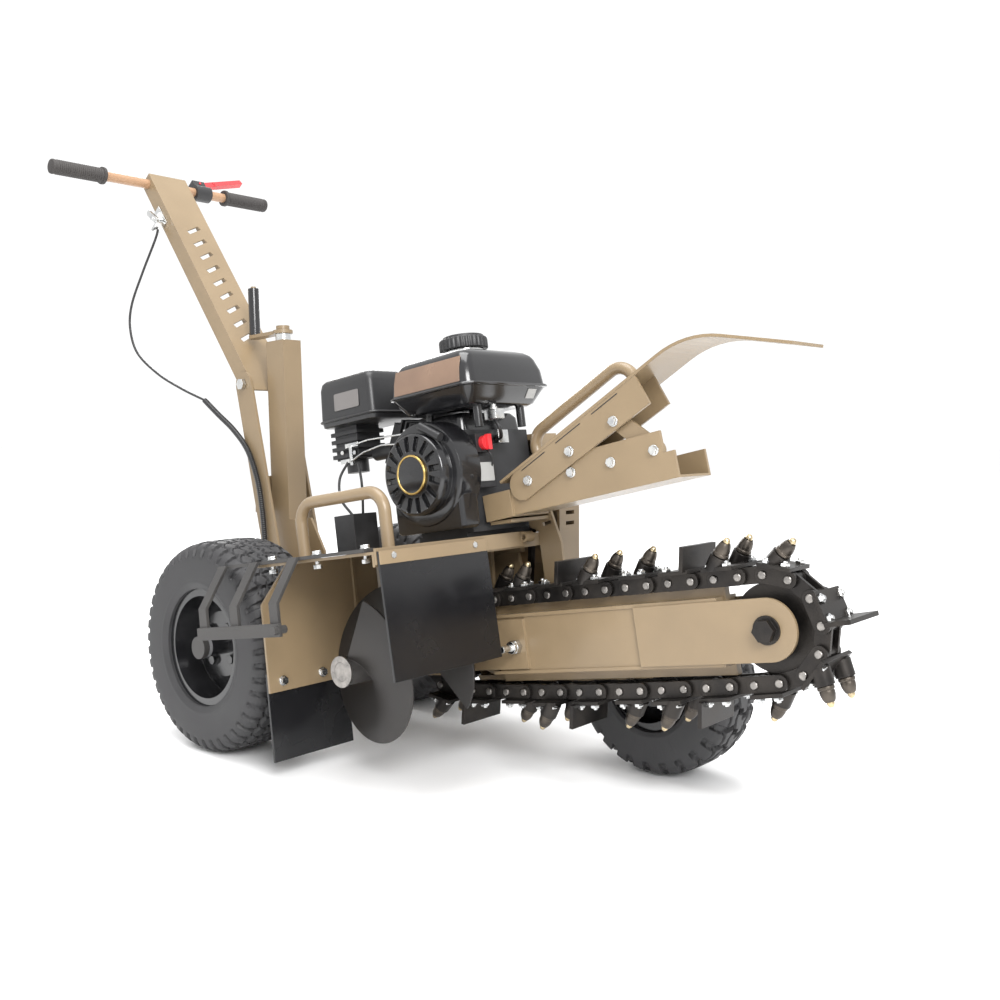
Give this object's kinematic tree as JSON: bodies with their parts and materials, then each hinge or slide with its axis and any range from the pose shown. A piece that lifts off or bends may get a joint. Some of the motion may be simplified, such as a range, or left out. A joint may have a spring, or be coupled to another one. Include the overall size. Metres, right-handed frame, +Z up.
{
  "type": "walk-behind trencher",
  "caption": "Walk-behind chain trencher with a tilting digging boom, spoil auger, petrol engine, crank jack, outrigger wheel and folding handle.",
  "frame": {"origin": "on the ground, under the middle of the machine's bounding box", "axes": "+X forward along the boom, +Y to the machine's left, +Z up"},
  "size_m": [1.879, 0.745, 1.3059],
  "materials": {
    "tan_paint": "satin",
    "dark_steel": "satin",
    "chain_steel": "worn satin",
    "zinc_plate": "bright",
    "gloss_black_paint": "gloss",
    "black_plastic": "satin",
    "tyre_rubber": "matte",
    "black_rubber": "semi-gloss",
    "grip_rubber": "matte",
    "copper_tube": "satin",
    "red_plastic": "gloss",
    "cast_alloy": "as cast"
  },
  "bodies": {
    "frame": {"chassis": "tan_paint", "main_axle": "zinc_plate", "front_axle_bolt": "zinc_plate", "jack_post": "tan_paint", "mast": "tan_paint", "clutch_cable": "black_rubber", "wiring_loom": "black_plastic", "hoop_handle": "tan_paint", "side_guard": "dark_steel", "rear_flap": "black_rubber", "front_beam": "tan_paint", "front_flap": "black_rubber", "drive_guard": "tan_paint", "head_bearings": "dark_steel", "drive_chain": "chain_steel", "engine_block": "cast_alloy", "recoil_housing": "black_plastic", "fuel_tank": "gloss_black_paint", "air_box": "black_plastic", "carburettor": "cast_alloy", "muffler": "dark_steel", "bolts": "zinc_plate"},
    "right_wheel": {"right_rim": "gloss_black_paint", "right_tyre": "tyre_rubber"},
    "left_wheel": {"left_rim": "gloss_black_paint", "left_tyre": "tyre_rubber"},
    "front_wheel": {"front_rim": "gloss_black_paint", "front_tyre": "tyre_rubber"},
    "jack_crank": {"jack_crank": "tan_paint", "jack_screw": "zinc_plate"},
    "crank_grip": {"crank_grip": "gloss_black_paint"},
    "lift_rocker": {"lift_rocker": "dark_steel"},
    "lift_link": {"lift_link": "dark_steel"},
    "handle": {"handle_arm": "tan_paint", "handlebar": "copper_tube", "handle_grips": "grip_rubber", "lever_clamp": "black_plastic", "cable_bracket": "zinc_plate"},
    "clutch_lever": {"clutch_lever": "red_plastic"},
    "auger_shaft": {"head_shaft": "zinc_plate", "head_sprocket": "chain_steel", "auger": "dark_steel", "driven_sprocket": "chain_steel"},
    "clutch_drum": {"clutch_drum": "zinc_plate"},
    "boom": {"boom_tube": "tan_paint", "nose_bolt": "dark_steel", "chain_tensioner": "zinc_plate", "outer_links": "chain_steel", "inner_links": "chain_steel", "cup_plates": "chain_steel", "bit_holders": "chain_steel", "bits": "chain_steel", "crumber_bar": "tan_paint", "crumber_arm": "tan_paint", "crumber_bolts": "zinc_plate", "crumber_spring": "black_rubber"},
    "nose_roller": {"nose_roller": "chain_steel"},
    "recoil_handle": {"recoil_handle": "black_plastic"},
    "fuel_cap": {"fuel_cap": "black_plastic"},
    "engine_switch": {"engine_switch": "red_plastic"}
  },
  "joints": [
    {"name": "right_wheel_spin", "type": "hinge", "parent": "frame", "child": "right_wheel", "pos_m": [-0.2426, -0.203, 0.203], "axis": [0, 1, 0], "continuous": true},
    {"name": "left_wheel_spin", "type": "hinge", "parent": "frame", "child": "left_wheel", "pos_m": [-0.2426, 0.29, 0.203], "axis": [0, 1, 0], "continuous": true},
    {"name": "front_wheel_spin", "type": "hinge", "parent": "frame", "child": "front_wheel", "pos_m": [0.4724, 0.2235, 0.165], "axis": [0, 1, 0], "continuous": true},
    {"name": "boom_tilt", "type": "hinge", "parent": "frame", "child": "boom", "pos_m": [0.13919, 0.0435, 0.2088], "axis": [0, 1, 0], "range_deg": [0, 61]},
    {"name": "lift_rocker_turn", "type": "hinge", "parent": "frame", "child": "lift_rocker", "pos_m": [-0.04649, 0.1145, 0.17939], "axis": [0, 1, 0], "range_deg": [0, 61]},
    {"name": "lift_link_turn", "type": "hinge", "parent": "lift_rocker", "child": "lift_link", "pos_m": [-0.09828, 0.1215, 0.12937], "axis": [0, 1, 0], "range_deg": [-61, 0]},
    {"name": "jack_crank_turn", "type": "hinge", "parent": "frame", "child": "jack_crank", "pos_m": [-0.40582, 0.0435, 0.82086], "axis": [-0.061, 0, 0.9981], "continuous": true},
    {"name": "crank_grip_spin", "type": "hinge", "parent": "jack_crank", "child": "crank_grip", "pos_m": [-0.51329, 0.0435, 0.8744], "axis": [-0.061, 0, 0.9981], "continuous": true},
    {"name": "handle_fold", "type": "hinge", "parent": "frame", "child": "handle", "pos_m": [-0.4756, 0.0435, 0.724], "axis": [0, 1, 0], "range_deg": [-65, 0]},
    {"name": "clutch_squeeze", "type": "hinge", "parent": "handle", "child": "clutch_lever", "pos_m": [-0.90171, 0.1475, 1.25778], "axis": [0.7815, 0, 0.6239], "range_deg": [-16, 0], "stiffness_Nm_per_rad": 1},
    {"name": "auger_spin", "type": "hinge", "parent": "frame", "child": "auger_shaft", "pos_m": [0.13919, 0.0435, 0.2088], "axis": [0, 1, 0], "continuous": true},
    {"name": "nose_roller_spin", "type": "hinge", "parent": "boom", "child": "nose_roller", "pos_m": [0.80098, 0.0435, 0.32549], "axis": [0, 1, 0], "continuous": true},
    {"name": "clutch_drum_spin", "type": "hinge", "parent": "frame", "child": "clutch_drum", "pos_m": [0.1774, 0.1605, 0.54289], "axis": [0, 1, 0], "continuous": true},
    {"name": "starter_pull", "type": "slide", "parent": "frame", "child": "recoil_handle", "axis": [0, -1, 0], "range_m": [0, 0.5]},
    {"name": "fuel_cap_turn", "type": "hinge", "parent": "frame", "child": "fuel_cap", "pos_m": [0.17402, 0.0175, 0.77522], "axis": [-0.1564, 0, 0.9877], "range_deg": [0, 90]},
    {"name": "engine_switch_turn", "type": "hinge", "parent": "frame", "child": "engine_switch", "pos_m": [0.25135, -0.0125, 0.60016], "axis": [0.9877, 0, 0.1564], "range_deg": [0, 45]}
  ],
  "couplings": [
    {"joint": "lift_rocker_turn", "follows": "boom_tilt", "ratio": 1},
    {"joint": "lift_link_turn", "follows": "boom_tilt", "ratio": -1},
    {"joint": "nose_roller_spin", "follows": "auger_spin", "ratio": 1},
    {"joint": "clutch_drum_spin", "follows": "auger_spin", "ratio": 1.68}
  ]
}
